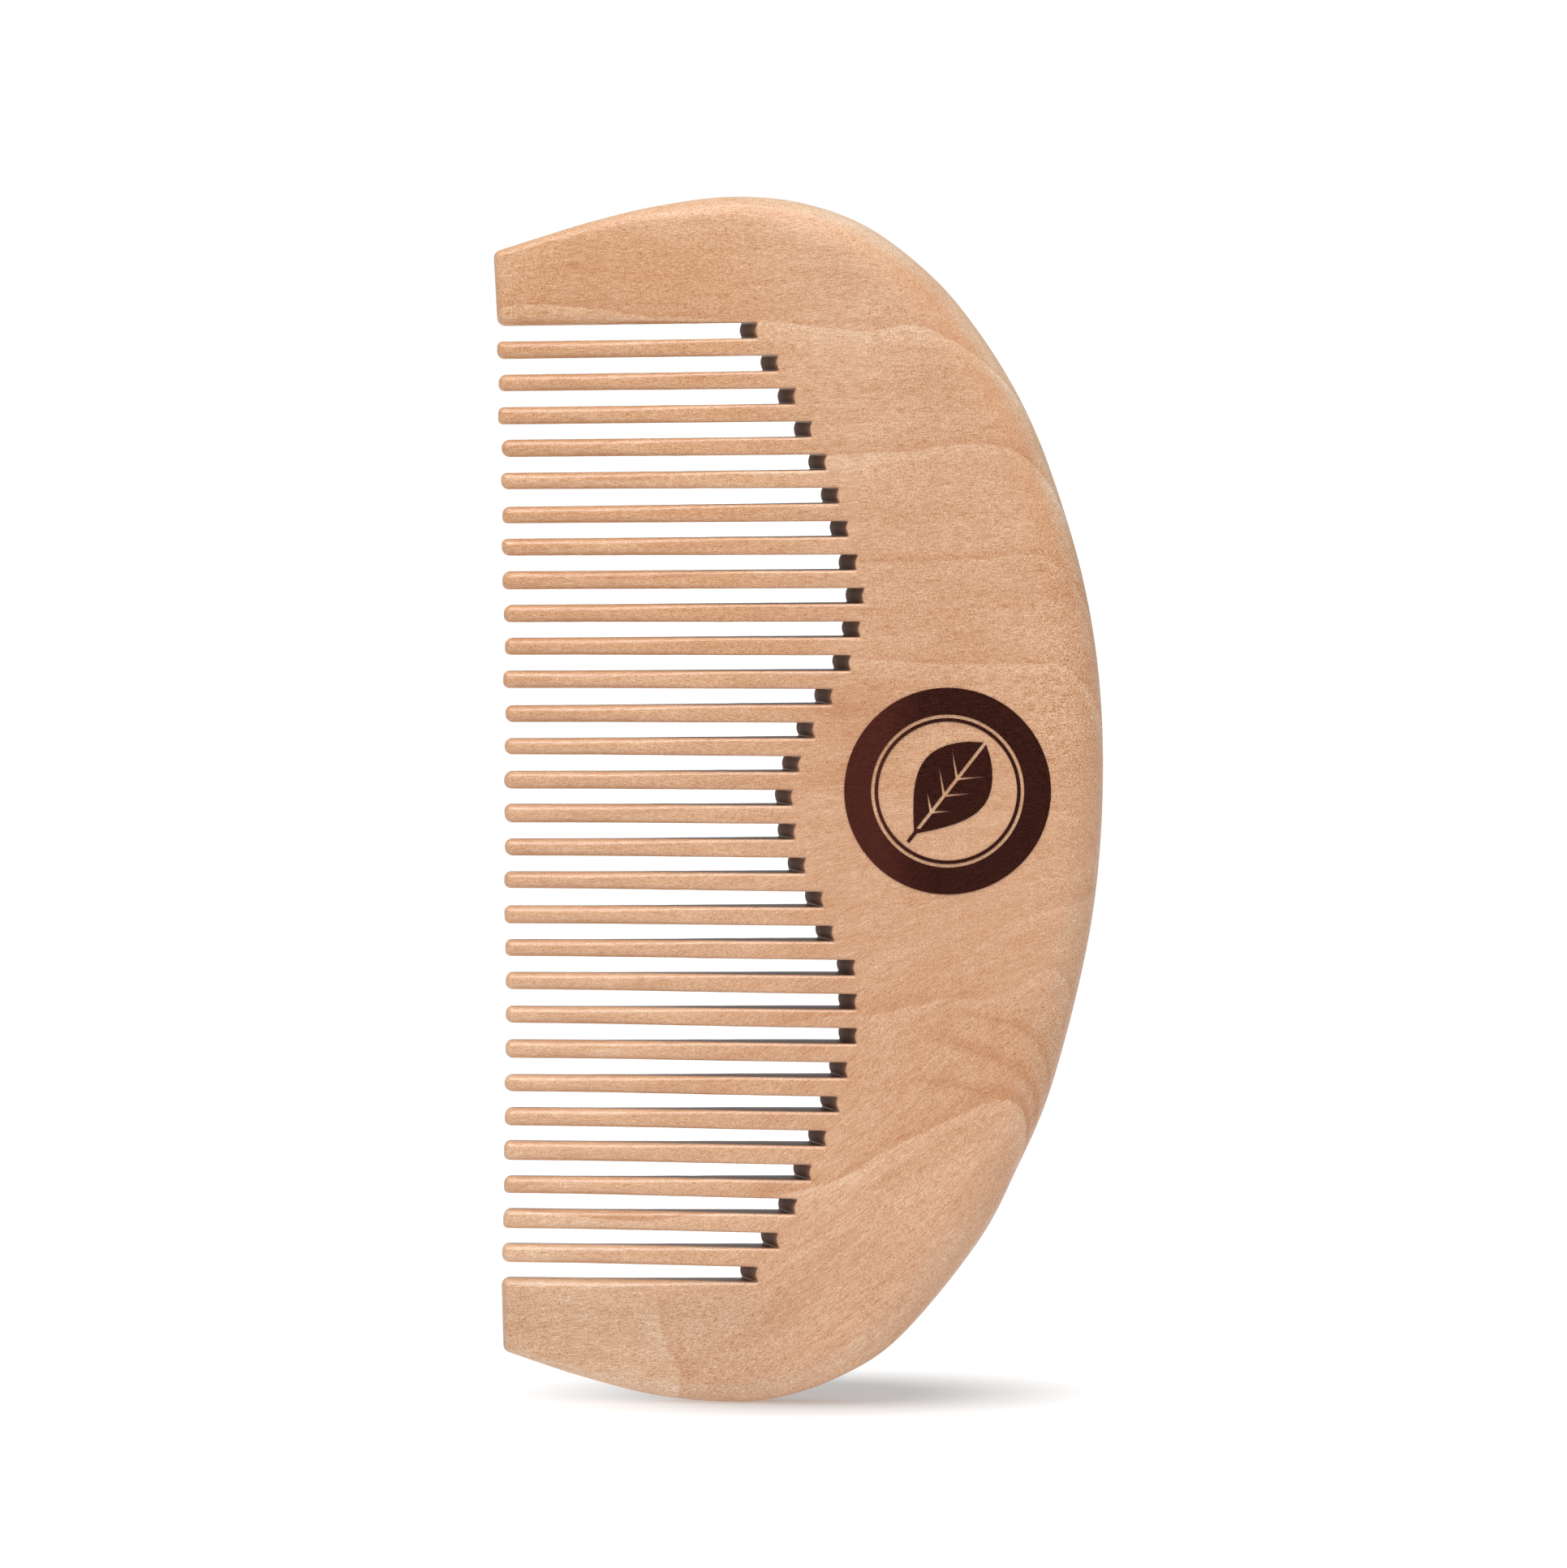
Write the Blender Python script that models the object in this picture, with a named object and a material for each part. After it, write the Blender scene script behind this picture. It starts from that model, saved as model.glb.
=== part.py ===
"""A half-moon wooden beard comb, standing on its lower edge.

+Z runs along the comb's length, the teeth point to -X, the spine faces +X and the printed face faces -Y.
The real comb is one board. Here it is split along planes at the roots of the teeth, so that every tooth
is a simple solid and the gaps between the teeth stay open.
"""

import math
from collections import namedtuple

import bmesh
import bpy
from mathutils import Vector
from mathutils.geometry import delaunay_2d_cdt

MM = 0.001  # every size below is in millimetres

# The board
BACK_THICKNESS = 9.0
TIP_THICKNESS = 3.0
HOLLOW_START_X, HOLLOW_END_X = -24.0, 7.0  # the faces are ground hollow between these

# The half-moon silhouette, from the upper guard's tip round the spine to the lower guard's tip
SILHOUETTE = (
    (-30.3, 114.5), (-20.3, 117.6), (-12.8, 119.3), (-6.0, 120.0), (0.7, 119.3), (7.2, 116.8),
    (13.6, 111.8), (18.2, 106.2), (22.05, 99.9), (24.95, 93.2), (28.05, 83.2), (29.8, 73.5),
    (30.35, 63.3), (29.8, 52.4), (28.15, 42.5), (25.0, 30.8), (21.7, 23.1), (18.6, 17.0),
    (13.6, 10.3), (8.8, 5.3), (3.9, 2.4), (-1.0, 0.65), (-6.0, 0.0), (-13.9, 0.6),
    (-21.9, 2.6), (-29.4, 5.1),
)
SPLINE_STEPS = 2
GUARD_SPLIT_X = -6.0  # the guards end here, where the silhouette runs level
GUARD_TIP_X = (-29.9, -29.6)  # upper and lower guard, beside the first and the last slot
GUARD_CORNER_RADIUS = 0.8

# The teeth
TEETH = 28
PITCH = 3.354
PITCH_DRIFT = 0.0028  # the pitch grows a little from the top to the bottom
FAN = 0.00028  # the teeth draw together towards their tips, per millimetre
TOOTH_MID_Z = 60.35
SLOT_WIDTH = 1.56
TOOTH_TIP_X = -29.2
TOOTH_TIP_BOW = 0.5
TOOTH_TIP_TILT = 0.2
TOOTH_CORNER_RADIUS = 0.6
TOOTH_STATIONS = 5

# The line of the slot ends: an arch with a cosine dip in its middle
ROOT_X = 8.0
ROOT_FALL = 0.0181
ROOT_FALL_POWER = 2.46
DIP_DEPTH = 8.5
DIP_CENTRE = 0.24
DIP_HALF_SPAN = 6.55
SHORT_SLOTS = {18: 0.65, 20: 0.35}  # slots that the saw left short, by this much
SLOT_LEAN = 1.7  # the round saw cuts this much deeper on the front face
STUB = 0.3  # a tooth node starts this far outside the shallower of its two slot ends
JOIN_GAP = 0.1

# Rounded edges: how far in from the silhouette the rounding starts, its crease, and the crease's depth
SPINE_EDGE = (4.6, 0.45, 2.4)
GUARD_EDGE = (0.7, 0.15, 0.5)
SLOT_EDGE = (0.4, 0.0, 0.4)
EDGE_GROWS_X = (-26.0, 20.0)  # the guards' rounding grows into the spine's between these
ARC_END = math.radians(62)

# The print: a double ring round a leaf
MARK_X, MARK_Z = 14.8, 61.05
RING_RADII = (7.6, 10.26)
INNER_RING_RADII = (6.9, 7.25)
INK_THICKNESS = 0.06
INK_GAP = 0.03
RING_SEGMENTS = 72
LEAF_LENGTH = 11.2
LEAF_HALF_WIDTH = 3.7
LEAF_SHIFT = 0.4  # from the rings' centre towards the leaf's tip
LEAF_TILT = math.radians(38)
LEAF_MIDRIB = 0.35
LEAF_VEIN_FEET = (-3.1, -1.0, 1.1)  # along the leaf from its middle
LEAF_VEIN_WIDTH = 0.35
LEAF_VEIN_REACH = 0.6  # of the leaf's width beside the vein
LEAF_STEM = 1.2
LEAF_STEPS = 14

WOOD = ((0.73, 0.43, 0.24), 0.62)
INK = ((0.045, 0.009, 0.008), 0.5)

Rim = namedtuple("Rim", "x z inward edge lean", defaults=((0.0, 0.0, 0.0), 0.0))


def clear_scene():
    for obj in list(bpy.data.objects):
        bpy.data.objects.remove(obj, do_unlink=True)


def material(name, colour, roughness):
    made = bpy.data.materials.new(name)
    made.use_nodes = True
    shader = made.node_tree.nodes["Principled BSDF"]
    shader.inputs["Base Color"].default_value = (*colour, 1.0)
    shader.inputs["Roughness"].default_value = roughness
    shader.inputs["Metallic"].default_value = 0.0
    return made


def smoothstep(low, high, value):
    t = min(max((value - low) / (high - low), 0.0), 1.0)
    return t * t * (3.0 - 2.0 * t)


def half_thickness(x):
    """Half the board's thickness: flat faces at the back, ground hollow towards the teeth's tips."""
    full = TIP_THICKNESS + (BACK_THICKNESS - TIP_THICKNESS) * smoothstep(HOLLOW_START_X, HOLLOW_END_X, x)
    return full / 2.0


def silhouette():
    """A smooth curve through the silhouette's points (Catmull-Rom), as a list of (x, z)."""
    points = [Vector(point) for point in SILHOUETTE]
    points = [2 * points[0] - points[1], *points, 2 * points[-1] - points[-2]]
    curve = []
    for before, start, end, after in zip(points, points[1:], points[2:], points[3:]):
        for step in range(SPLINE_STEPS):
            t = step / SPLINE_STEPS
            curve.append(
                0.5 * (2 * start + (end - before) * t + (2 * before - 5 * start + 4 * end - after) * t**2
                       + (3 * start - before - 3 * end + after) * t**3)
            )
    return [*curve, points[-2]]


def rib_z(number, x):
    """The height of a tooth's or slot's middle line at x. Teeth have whole numbers, and slots halves."""
    from_middle = number - (TEETH + 1) / 2.0
    return TOOTH_MID_Z - PITCH * from_middle * (1.0 + FAN * x) - PITCH_DRIFT * from_middle**2


def slot_end_x(slot):
    """Where a slot ends on the front face. Slot 0 is beside the upper guard."""
    from_middle = slot - TEETH / 2.0
    from_dip = from_middle - DIP_CENTRE
    dip = math.cos(math.pi * from_dip / (2.0 * DIP_HALF_SPAN)) if abs(from_dip) < DIP_HALF_SPAN else 0.0
    fall = ROOT_FALL * abs(from_middle) ** ROOT_FALL_POWER
    return ROOT_X - fall - DIP_DEPTH * dip**2 - SHORT_SLOTS.get(slot, 0.0)


def slot_walls(slot, x):
    """The heights of a slot's upper and lower wall at x."""
    middle = rib_z(slot + 0.5, x)
    return middle + SLOT_WIDTH / 2.0, middle - SLOT_WIDTH / 2.0


def root_x(tooth):
    """Where a tooth leaves the back: just outside the shallower of the two slots beside it."""
    return min(slot_end_x(tooth - 1), slot_end_x(tooth)) - SLOT_LEAN - STUB


def tooth_tip_x(tooth):
    from_middle = (tooth - (TEETH + 1) / 2.0) / (TEETH / 2.0)
    return TOOTH_TIP_X - TOOTH_TIP_BOW * from_middle**2 + TOOTH_TIP_TILT * from_middle


def outer_edge(x):
    """The edge rounding along the silhouette, which grows from the guards to the spine."""
    grown = smoothstep(*EDGE_GROWS_X, x)
    return tuple(guard + (spine - guard) * grown for guard, spine in zip(GUARD_EDGE, SPINE_EDGE))


def rims_along(points, edge_of):
    """Rims for a run of (x, z) points that goes clockwise round the solid, seen from the front."""
    rims = []
    for index, point in enumerate(points):
        before = points[max(index - 1, 0)]
        after = points[min(index + 1, len(points) - 1)]
        along = (Vector(after) - Vector(before)).normalized()
        rims.append(Rim(point[0], point[1], (along.y, -along.x), edge_of(point[0])))
    return rims


def corner_rims(centre_x, centre_z, radius, start, end, edge, steps=3):
    """Rims round a corner's arc, from one angle to another in degrees."""
    rims = []
    for step in range(steps + 1):
        angle = math.radians(start + (end - start) * step / steps)
        out = (math.cos(angle), math.sin(angle))
        rims.append(Rim(centre_x + radius * out[0], centre_z + radius * out[1], (-out[0], -out[1]), edge))
    return rims


def section(rim):
    """An edge's section from the front face to the rear, as (inset, y): a rounding, a crease and a crowned rim."""
    reach, crown, drop = rim.edge
    front = []
    for share in (0.0, 0.55, 1.0):
        angle = ARC_END * share
        inset = reach - (reach - crown) * math.sin(angle) / math.sin(ARC_END)
        depth = drop * (1.0 - math.cos(angle)) / (1.0 - math.cos(ARC_END))
        front.append((inset, depth - half_thickness(rim.x + rim.inward[0] * inset)))
    return [*front, (0.0, 0.0), *((inset, -y) for inset, y in reversed(front))]


def triangles_inside(outline, inner=()):
    """The triangles that fill an outline of (x, z) points, through the inner points as well."""
    points = [Vector(point) for point in (*outline, *inner)]
    return delaunay_2d_cdt(points, [], [range(len(outline))], 1, 1e-6)[2]


def plate(name, rims, inner=(), finish=None):
    """A solid between the board's two faces, with the rims as its outline and its edges rounded."""
    bm = bmesh.new()
    columns = []
    for rim in rims:
        column = []
        for inset, y in section(rim):
            leaned = 0.5 + 0.5 * y / half_thickness(rim.x)
            x = rim.x + rim.inward[0] * inset - rim.lean * leaned
            z = rim.z + rim.inward[1] * inset
            column.append(bm.verts.new((x * MM, y * MM, z * MM)))
        columns.append(column)
    rings = list(zip(*columns))
    for upper, lower in zip(rings, rings[1:]):
        for index in range(len(rims)):
            following = (index + 1) % len(rims)
            bm.faces.new((upper[index], upper[following], lower[following], lower[index]))
    for ring, side in ((rings[0], -1), (rings[-1], 1)):
        outline = [(vert.co.x / MM, vert.co.z / MM) for vert in ring]
        inside = [bm.verts.new((x * MM, side * half_thickness(x) * MM, z * MM)) for x, z in inner]
        verts = [*ring, *inside]
        for face in triangles_inside(outline, inner):
            bm.faces.new([verts[index] for index in face])
    return finished(name, bm, finish)


def finished(name, bm, finish):
    """The mesh as an object in the scene, facing out, and smooth where its faces meet softly."""
    bmesh.ops.recalc_face_normals(bm, faces=bm.faces)
    if bm.calc_volume(signed=True) < 0:
        bmesh.ops.reverse_faces(bm, faces=bm.faces)
    mesh = bpy.data.meshes.new(name)
    bm.to_mesh(mesh)
    bm.free()
    mesh.shade_smooth()
    mesh.set_sharp_from_angle(angle=math.radians(35))
    mesh.materials.append(finish)
    obj = bpy.data.objects.new(name, mesh)
    bpy.context.scene.collection.objects.link(obj)
    return obj


def make_tooth(tooth, finish):
    root, tip = root_x(tooth) - JOIN_GAP, tooth_tip_x(tooth)
    radius = TOOTH_CORNER_RADIUS
    stations = [root + (tip + radius - root) * step / TOOTH_STATIONS for step in range(TOOTH_STATIONS)]
    upper = [Rim(x, slot_walls(tooth - 1, x)[1], (0, -1), SLOT_EDGE) for x in stations]
    lower = [Rim(x, slot_walls(tooth, x)[0], (0, 1), SLOT_EDGE) for x in reversed(stations)]
    top = slot_walls(tooth - 1, tip)[1] - radius
    bottom = slot_walls(tooth, tip)[0] + radius
    tip_rims = [
        *corner_rims(tip + radius, top, radius, 90, 180, SLOT_EDGE, 2),
        *corner_rims(tip + radius, bottom, radius, 180, 270, SLOT_EDGE, 2),
    ]
    # The outline runs clockwise seen from the front, so the tip comes after the lower side.
    rims = [*reversed(upper), *reversed(lower), *reversed(tip_rims)]
    return plate(f"tooth_{tooth:02d}", rims, finish=finish)


def make_guard(name, slot, finish):
    """A guard: its split face, its part of the silhouette, its tip, and its side along a slot."""
    upper = slot == 0
    curve = [point for point in silhouette() if (point[1] > TOOTH_MID_Z) == upper]
    split = GUARD_SPLIT_X - JOIN_GAP
    curve = [point for point in curve if point[0] < split - 0.5]
    radius = GUARD_CORNER_RADIUS
    wall = 0 if upper else 1
    slot_side = slot_walls(slot, split)[wall]
    tip_x = GUARD_TIP_X[wall]
    tip_z = slot_walls(slot, tip_x)[wall]
    edge = outer_edge(split)
    if upper:
        outside = rims_along([*curve[1:], (split, SILHOUETTE[3][1])], outer_edge)
        outside[-1] = Rim(split, SILHOUETTE[3][1], (0, -1), edge)
        corner = corner_rims(curve[0][0] + radius, curve[0][1] - radius, radius, 180, 110, GUARD_EDGE)
        tip = corner_rims(tip_x + radius, tip_z + radius, radius, 270, 180, SLOT_EDGE)
        rims = [*tip, *corner, *outside, Rim(split, slot_side, (0, 1), SLOT_EDGE)]
    else:
        outside = rims_along([(split, SILHOUETTE[-4][1]), *curve[:-1]], outer_edge)
        outside[0] = Rim(split, SILHOUETTE[-4][1], (0, 1), edge)
        corner = corner_rims(curve[-1][0] + radius, curve[-1][1] + radius, radius, 250, 180, GUARD_EDGE)
        tip = corner_rims(tip_x + radius, tip_z - radius, radius, 180, 90, SLOT_EDGE)
        rims = [Rim(split, slot_side, (0, -1), SLOT_EDGE), *outside, *corner, *tip]
    return plate(name, rims, finish=finish)


def make_back(finish):
    """The half-moon back, with a short open stub at each tooth's root and the slots' leaning ends."""
    curve = [point for point in silhouette() if point[0] > GUARD_SPLIT_X + 0.5]
    top, bottom = SILHOUETTE[3][1], SILHOUETTE[-4][1]
    spine = rims_along([(GUARD_SPLIT_X, top), *curve, (GUARD_SPLIT_X, bottom)], outer_edge)
    edge = outer_edge(GUARD_SPLIT_X)
    spine[0] = Rim(GUARD_SPLIT_X, top, (0, -1), edge)
    spine[-1] = Rim(GUARD_SPLIT_X, bottom, (0, 1), edge)
    roots = [GUARD_SPLIT_X, *(root_x(tooth) for tooth in range(1, TEETH + 1)), GUARD_SPLIT_X]
    comb_side = []
    for slot in range(TEETH, -1, -1):
        end = slot_end_x(slot)
        above, below = roots[slot], roots[slot + 1]
        comb_side += [
            Rim(below, slot_walls(slot, below)[1], (0, -1), SLOT_EDGE),
            Rim(end, slot_walls(slot, end)[1], (1, -1), SLOT_EDGE, SLOT_LEAN),
            Rim(end, slot_walls(slot, end)[0], (1, 1), SLOT_EDGE, SLOT_LEAN),
            Rim(above, slot_walls(slot, above)[0], (0, 1), SLOT_EDGE),
        ]
    inner = [(HOLLOW_END_X, rib_z(slot + 0.5, HOLLOW_END_X)) for slot in range(-1, TEETH + 2)]
    rows = (-1, 1, 5, 12, 14, 15, 17, 24, 28, 30)
    inner += [(x, rib_z(row, x)) for x in (0.0, 3.5) for row in rows if x > root_x(row) + STUB]
    return plate("back", [*spine, *comb_side], inner, finish)


def make_film(name, outline, finish, hole=()):
    """A film of ink just off the front face, inside its outline and outside its hole."""
    front = -(BACK_THICKNESS / 2.0 + INK_GAP + INK_THICKNESS)
    bm = bmesh.new()
    layers = []
    for y in (front, front + INK_THICKNESS):
        layers.append([[bm.verts.new((x * MM, y * MM, z * MM)) for x, z in loop] for loop in (outline, hole)])
    for near, far in zip(*layers):
        for index in range(len(near)):
            following = (index + 1) % len(near)
            bm.faces.new((near[index], near[following], far[following], far[index]))
    for edge, inner in layers:
        if inner:
            for index in range(len(edge)):
                following = (index + 1) % len(edge)
                bm.faces.new((edge[index], edge[following], inner[following], inner[index]))
        else:
            for face in triangles_inside(outline):
                bm.faces.new([edge[index] for index in face])
    return finished(name, bm, finish)


def circle(radius):
    angles = [math.tau * index / RING_SEGMENTS for index in range(RING_SEGMENTS)]
    return [(MARK_X + radius * math.cos(angle), MARK_Z + radius * math.sin(angle)) for angle in angles]


def leaf_width(x):
    """How far the leaf's edge is from its midrib, at x along it from its middle."""
    t = 0.5 - x / LEAF_LENGTH
    return (LEAF_HALF_WIDTH - LEAF_MIDRIB / 2.0) * math.sin(math.pi * t**0.85)


def leaf_half(side):
    """Half a pointed leaf beside its midrib, with a slit for each vein. The first half holds the stem."""
    half = LEAF_LENGTH / 2.0
    rib = LEAF_MIDRIB / 2.0
    edge = [half - LEAF_LENGTH * step / LEAF_STEPS for step in range(1, LEAF_STEPS)]
    outline = [(half, rib), *((x, rib + leaf_width(x)) for x in edge), (-half, rib)]
    if side > 0:
        outline += [(-half - LEAF_STEM, rib), (-half - LEAF_STEM, -rib), (-half + LEAF_STEM / 4.0, -rib),
                    (-half + LEAF_STEM / 2.0, rib)]
    for foot in LEAF_VEIN_FEET:
        reach = LEAF_VEIN_REACH * leaf_width(foot + LEAF_VEIN_REACH)
        outline += [(foot, rib), (foot + reach, rib + reach), (foot + LEAF_VEIN_WIDTH, rib)]
    along = Vector((math.sin(LEAF_TILT), math.cos(LEAF_TILT)))
    across = side * Vector((along.y, -along.x))
    return [tuple(Vector((MARK_X, MARK_Z)) + (x + LEAF_SHIFT) * along + z * across) for x, z in outline]


def main():
    clear_scene()
    wood = material("wood", *WOOD)
    ink = material("ink", *INK)
    make_back(wood)
    make_guard("guard_upper", 0, wood)
    make_guard("guard_lower", TEETH, wood)
    for tooth in range(1, TEETH + 1):
        make_tooth(tooth, wood)
    make_film("printed_ring", circle(RING_RADII[1]), ink, circle(RING_RADII[0]))
    make_film("printed_inner_ring", circle(INNER_RING_RADII[1]), ink, circle(INNER_RING_RADII[0]))
    make_film("printed_leaf_left", leaf_half(1), ink)
    make_film("printed_leaf_right", leaf_half(-1), ink)


main()
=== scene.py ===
"""The look of a half-moon wooden beard comb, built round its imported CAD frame, and the studio round it.

The real comb is one board, so one seamless mesh stands for the CAD's back, guards and teeth. The print stays
as the CAD's films of ink. Sizes are in millimetres, as in the CAD: +Z along the comb, teeth to -X, printed
face to -Y. The comb and the floor are lit apart, so that each has its own softness of light.
"""

import math
import random
from collections import namedtuple

import bpy
import numpy as np
from mathutils import Matrix, Vector, noise
from mathutils.geometry import delaunay_2d_cdt


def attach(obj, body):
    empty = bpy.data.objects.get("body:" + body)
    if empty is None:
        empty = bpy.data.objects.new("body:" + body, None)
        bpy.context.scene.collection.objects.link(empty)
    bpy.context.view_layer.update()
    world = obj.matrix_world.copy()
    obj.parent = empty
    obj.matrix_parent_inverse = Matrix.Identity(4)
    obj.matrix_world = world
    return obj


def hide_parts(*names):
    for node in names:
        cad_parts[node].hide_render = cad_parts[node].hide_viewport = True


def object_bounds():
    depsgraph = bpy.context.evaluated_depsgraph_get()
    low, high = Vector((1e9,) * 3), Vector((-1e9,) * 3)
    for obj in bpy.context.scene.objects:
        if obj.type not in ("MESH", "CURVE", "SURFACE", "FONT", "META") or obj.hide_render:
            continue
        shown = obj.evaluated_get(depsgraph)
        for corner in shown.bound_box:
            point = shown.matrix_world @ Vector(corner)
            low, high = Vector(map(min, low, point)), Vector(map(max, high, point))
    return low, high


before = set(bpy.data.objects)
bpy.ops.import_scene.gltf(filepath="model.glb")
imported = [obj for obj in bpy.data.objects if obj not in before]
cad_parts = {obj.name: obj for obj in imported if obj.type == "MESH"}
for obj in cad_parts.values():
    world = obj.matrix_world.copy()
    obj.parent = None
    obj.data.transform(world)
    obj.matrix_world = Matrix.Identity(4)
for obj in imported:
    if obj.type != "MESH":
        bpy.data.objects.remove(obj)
cad_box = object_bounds()

MM = 0.001

# The board, as in the CAD
BACK_THICKNESS = 9.0
TIP_THICKNESS = 3.0
HOLLOW_START_X, HOLLOW_END_X = -24.0, 7.0
SILHOUETTE = (
    (-30.3, 114.5), (-20.3, 117.6), (-12.8, 119.3), (-6.0, 120.0), (0.7, 119.3), (7.2, 116.8),
    (13.6, 111.8), (18.2, 106.2), (22.05, 99.9), (24.95, 93.2), (28.05, 83.2), (29.8, 73.5),
    (30.35, 63.3), (29.8, 52.4), (28.15, 42.5), (25.0, 30.8), (21.7, 23.1), (18.6, 17.0),
    (13.6, 10.3), (8.8, 5.3), (3.9, 2.4), (-1.0, 0.65), (-6.0, 0.0), (-13.9, 0.6),
    (-21.9, 2.6), (-29.4, 5.1),
)
GUARD_TIP_X = (-29.9, -29.6)  # upper and lower guard, beside the first and the last slot
GUARD_CORNER_RADIUS = 0.8
TEETH = 28
PITCH = 3.354
PITCH_DRIFT = 0.0028
FAN = 0.00028
TOOTH_MID_Z = 60.35
SLOT_WIDTH = 1.56
TOOTH_TIP_X = -29.2
TOOTH_TIP_BOW = 0.5
TOOTH_TIP_TILT = 0.2
ROOT_X = 8.0
ROOT_FALL = 0.0181
ROOT_FALL_POWER = 2.46
DIP_DEPTH = 8.5
DIP_CENTRE = 0.24
DIP_HALF_SPAN = 6.55
SHORT_SLOTS = {18: 0.65, 20: 0.35}  # slots that the saw left short, by this much

# The slots' ends: the saw cuts deeper on the front face, and leaves a slight hump across the cut
SLOT_LEAN = 1.7
LEAN_RUN = 8.0
SLOT_END_RADIUS = 0.14
SLOT_END_HUMP = 0.16

# Rounded edges: how far in from the outline the rounding starts and its crease lies, then the crease's depth
SPINE_EDGE = (4.6, 0.45, 2.4)
GUARD_EDGE = (0.7, 0.15, 0.5)
GUARD_SIDE_EDGE = (0.9, 0.0, 1.1)
TOOTH_EDGE = (0.66, 0.0, 0.7)
ROOT_EDGE = (0.34, 0.0, 0.26)
SLOT_END_EDGE = (0.2, 0.0, 0.16)
EDGE_GROWS_X = (-32.0, 20.0)  # the guards' rounding grows into the spine's between these
TOOTH_EDGE_X = (-22.0, -4.0)  # the teeth's rounding narrows towards their roots between these
ARC_END = math.radians(62)
ARC_STEPS = 5
BAND_SHARES = (0.015, 0.2, 0.4, 0.6, 0.8, 0.985)  # where the cut has points, from one crease to the other
SPINE_STEPS = 12
RUN_STEP = 1.5  # about how far apart the rims along a tooth are
END_STEPS = 6  # the fewest steps across a slot's end
CORNER_STEPS = 4  # the fewest steps round a corner
CONVEX_STEP, CONCAVE_STEP = 12.0, 30.0  # about how far a step round a corner turns, in degrees
SMALLEST_RADIUS = 0.05  # an arc that moves inwards gets no tighter than this
FACE_GRID, FACE_MARGIN = 2.5, 1.0
FACE_CLEARANCE = 0.45 * FACE_GRID
FILL_INSIDE, FILL_PRECISION = 1, 1e-6
NEVER_ZERO = 1e-12

# Hand finish: how much each tooth and slot differs from the next
FINISH_SEED = 28
TIP_VARIES = 0.13
TIP_TAPER = (-0.05, 0.15)
END_VARIES = 0.12
TIP_RADII = (0.5, 0.85)
WAVINESS, WAVE_SCALE = 0.025, (0.6, 1.7)

# Scorch and painted shade: the saw's scorch, darkened further as painted shade in the slots, grows towards
# the slots' ends
SCORCH_SHADE_X = (-28.0, 6.0)
FULLY_SCORCH_SHADED = 0.999

# Sanding and painted sheen: the rounding is paled, for its sanding and as painted sheen, on the upper
# shoulder, low on the spine and at the foot. Each arc gives its share from the rounding's inner end to its
# crease. Below 0 it deepens the colour halfway round, as painted shade against the highlight there.
SHOULDER_ARC = (0.0, -0.2, -0.6, -0.5, 0.7, 1.5)
SHOULDER_X, SHOULDER_Z = (-14.0, 5.0), (70.0, 92.0)
SHOULDER_LEAST = 0.45  # the share of sanding and painted sheen left of the shoulder, along the upper guard
LOW_ARC = (0.0, 0.25, 1.0, 1.0, 0.9, 0.2)
LOW_SANDING_AND_SHEEN, LOW_SHEEN_FROM, LOW_SHEEN_TO = 0.7, (27.0, 38.0), (46.0, 56.0)
FOOT_SANDING_AND_SHEEN, FOOT_Z = 0.5, (3.0, 12.0)

Rim = namedtuple("Rim", "point inward edge scorch slot mitre limit", defaults=(Vector((0.0, 0.0)), math.inf))
Corner = namedtuple("Corner", "point radius kind slot")  # kind and slot are those of the stretch that follows


def smoothstep(low, high, value):
    t = min(max((value - low) / (high - low), 0.0), 1.0)
    return t * t * (3.0 - 2.0 * t)


def blended(first, second, share):
    return tuple(a + (b - a) * share for a, b in zip(first, second))


def half_thickness(x):
    """Half the board's thickness: flat faces at the back, ground hollow towards the teeth's tips."""
    full = TIP_THICKNESS + (BACK_THICKNESS - TIP_THICKNESS) * smoothstep(HOLLOW_START_X, HOLLOW_END_X, x)
    return full / 2.0


def silhouette():
    """A smooth curve through the silhouette's points (Catmull-Rom), clockwise from the front."""
    points = [Vector(point) for point in SILHOUETTE]
    points = [2 * points[0] - points[1], *points, 2 * points[-1] - points[-2]]
    curve = []
    for before, start, end, after in zip(points, points[1:], points[2:], points[3:]):
        for step in range(SPINE_STEPS):
            t = step / SPINE_STEPS
            curve.append(
                0.5 * (2 * start + (end - before) * t + (2 * before - 5 * start + 4 * end - after) * t**2
                       + (3 * start - before - 3 * end + after) * t**3)
            )
    return [*curve, points[-2]]


def rib_z(number, x):
    """The height of a tooth's or slot's middle line at x. Teeth have whole numbers, and slots halves."""
    from_middle = number - (TEETH + 1) / 2.0
    return TOOTH_MID_Z - PITCH * from_middle * (1.0 + FAN * x) - PITCH_DRIFT * from_middle**2


def slot_end_x(slot):
    """Where a slot ends on the front face: on an arch with a cosine dip. Slot 0 is beside the upper guard."""
    from_middle = slot - TEETH / 2.0
    from_dip = from_middle - DIP_CENTRE
    dip = math.cos(math.pi * from_dip / (2.0 * DIP_HALF_SPAN)) if abs(from_dip) < DIP_HALF_SPAN else 0.0
    fall = ROOT_FALL * abs(from_middle) ** ROOT_FALL_POWER
    return ROOT_X - fall - DIP_DEPTH * dip**2 - SHORT_SLOTS.get(slot, 0.0)


def slot_wall(slot, x, side):
    """The height of a slot's upper (1) or lower (-1) wall at x."""
    return rib_z(slot + 0.5, x) + side * SLOT_WIDTH / 2.0


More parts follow.
